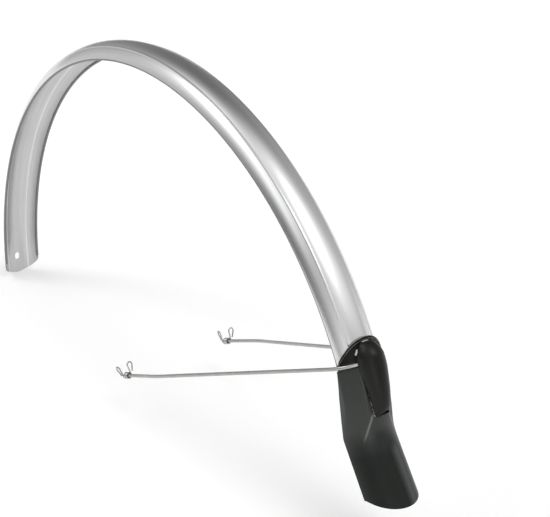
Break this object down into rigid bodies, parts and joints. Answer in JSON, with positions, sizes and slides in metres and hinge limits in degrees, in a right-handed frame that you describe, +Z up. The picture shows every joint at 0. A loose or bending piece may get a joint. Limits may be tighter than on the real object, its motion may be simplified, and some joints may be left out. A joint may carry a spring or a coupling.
{
  "type": "bicycle mudguard",
  "caption": "Rear bicycle mudguard: arched metal blade with curled edges and crease lines, moulded black flap, and a U-shaped wire stay under a drop-shaped cover with spring clips.",
  "frame": {"origin": "middle of the oblong hole at the blade's front end, on the outer face of the flat round it", "axes": "+X from the front end to the flap, level; +Z up; Y across the wheel, +Y the bicycle's right"},
  "size_m": [0.7413, 0.1438, 0.3771],
  "materials": {
    "blade_metal": "satin silver",
    "flap_plastic": "matte black",
    "gloss_black": "gloss black",
    "stay_steel": "satin",
    "clamp_steel": "zinc plated",
    "spring_wire": "bright"
  },
  "bodies": {
    "root": {"blade": "blade_metal", "mudflap": "flap_plastic", "stay_holder": "gloss_black", "stay_cover": "gloss_black", "stay": "stay_steel", "stay_saddle": "clamp_steel", "clamp_screws": "clamp_steel", "clamp_washers": "clamp_steel", "clamp_nuts": "clamp_steel", "spring_clip_right": "spring_wire", "spring_clip_left": "spring_wire"}
  },
  "joints": []
}
